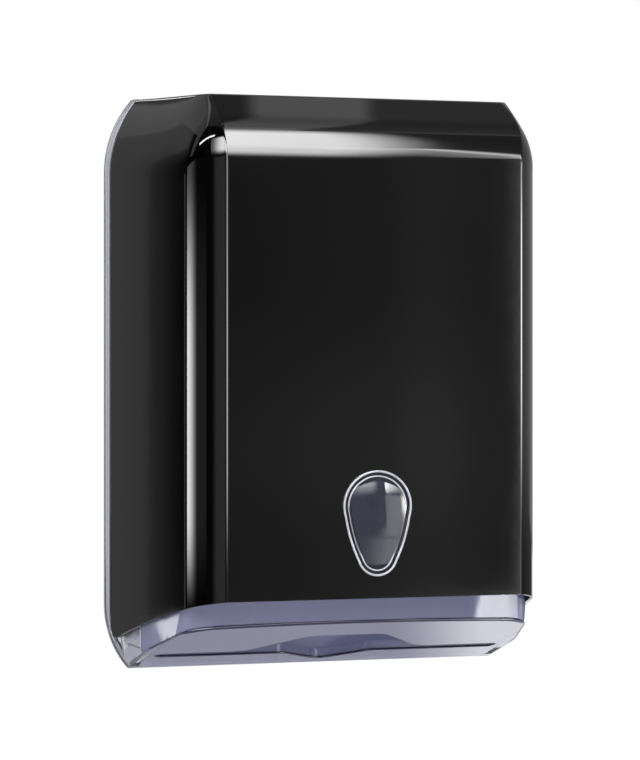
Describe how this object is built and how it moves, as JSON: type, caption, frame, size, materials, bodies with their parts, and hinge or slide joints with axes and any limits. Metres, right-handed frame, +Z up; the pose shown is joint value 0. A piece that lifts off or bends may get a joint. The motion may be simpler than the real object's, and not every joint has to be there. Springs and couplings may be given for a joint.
{
  "type": "folded paper towel dispenser",
  "caption": "Wall dispenser for folded paper towels: gloss cover hinged at the foot, smoky clear back and slotted tray, teardrop level window and a key lock on top.",
  "frame": {"origin": "centre of the four wall-screw holes, on the wall face of the back plate", "axes": "+Z up, +Y into the wall so that the front looks along -Y, +X to the right seen from the front"},
  "size_m": [0.2832, 0.1372, 0.3709],
  "materials": {
    "gloss_black": "high gloss black moulding",
    "smoke_clear": "clear moulding with a smoky grey-violet tint",
    "steel": "zinc-plated steel",
    "lock_metal": "satin nickel plate"
  },
  "bodies": {
    "base": {"back_plate": "smoke_clear", "bottom_tray": "smoke_clear", "hinge_pin_left": "steel", "hinge_pin_right": "steel", "tray_screw_left": "steel", "tray_screw_right": "steel"},
    "cover": {"front_cover": "gloss_black", "level_window": "smoke_clear", "lock_barrel": "lock_metal", "lock_nut": "steel"},
    "lock": {"lock_core": "lock_metal", "lock_cam": "steel", "cam_screw": "steel"}
  },
  "joints": [
    {"name": "cover_hinge", "type": "hinge", "parent": "base", "child": "cover", "pos_m": [0, -0.013, -0.178], "axis": [1, 0, 0], "range_deg": [0, 90]},
    {"name": "lock_turn", "type": "hinge", "parent": "cover", "child": "lock", "pos_m": [0, -0.022, 0.145], "axis": [0, 0, -1], "range_deg": [0, 90]}
  ]
}
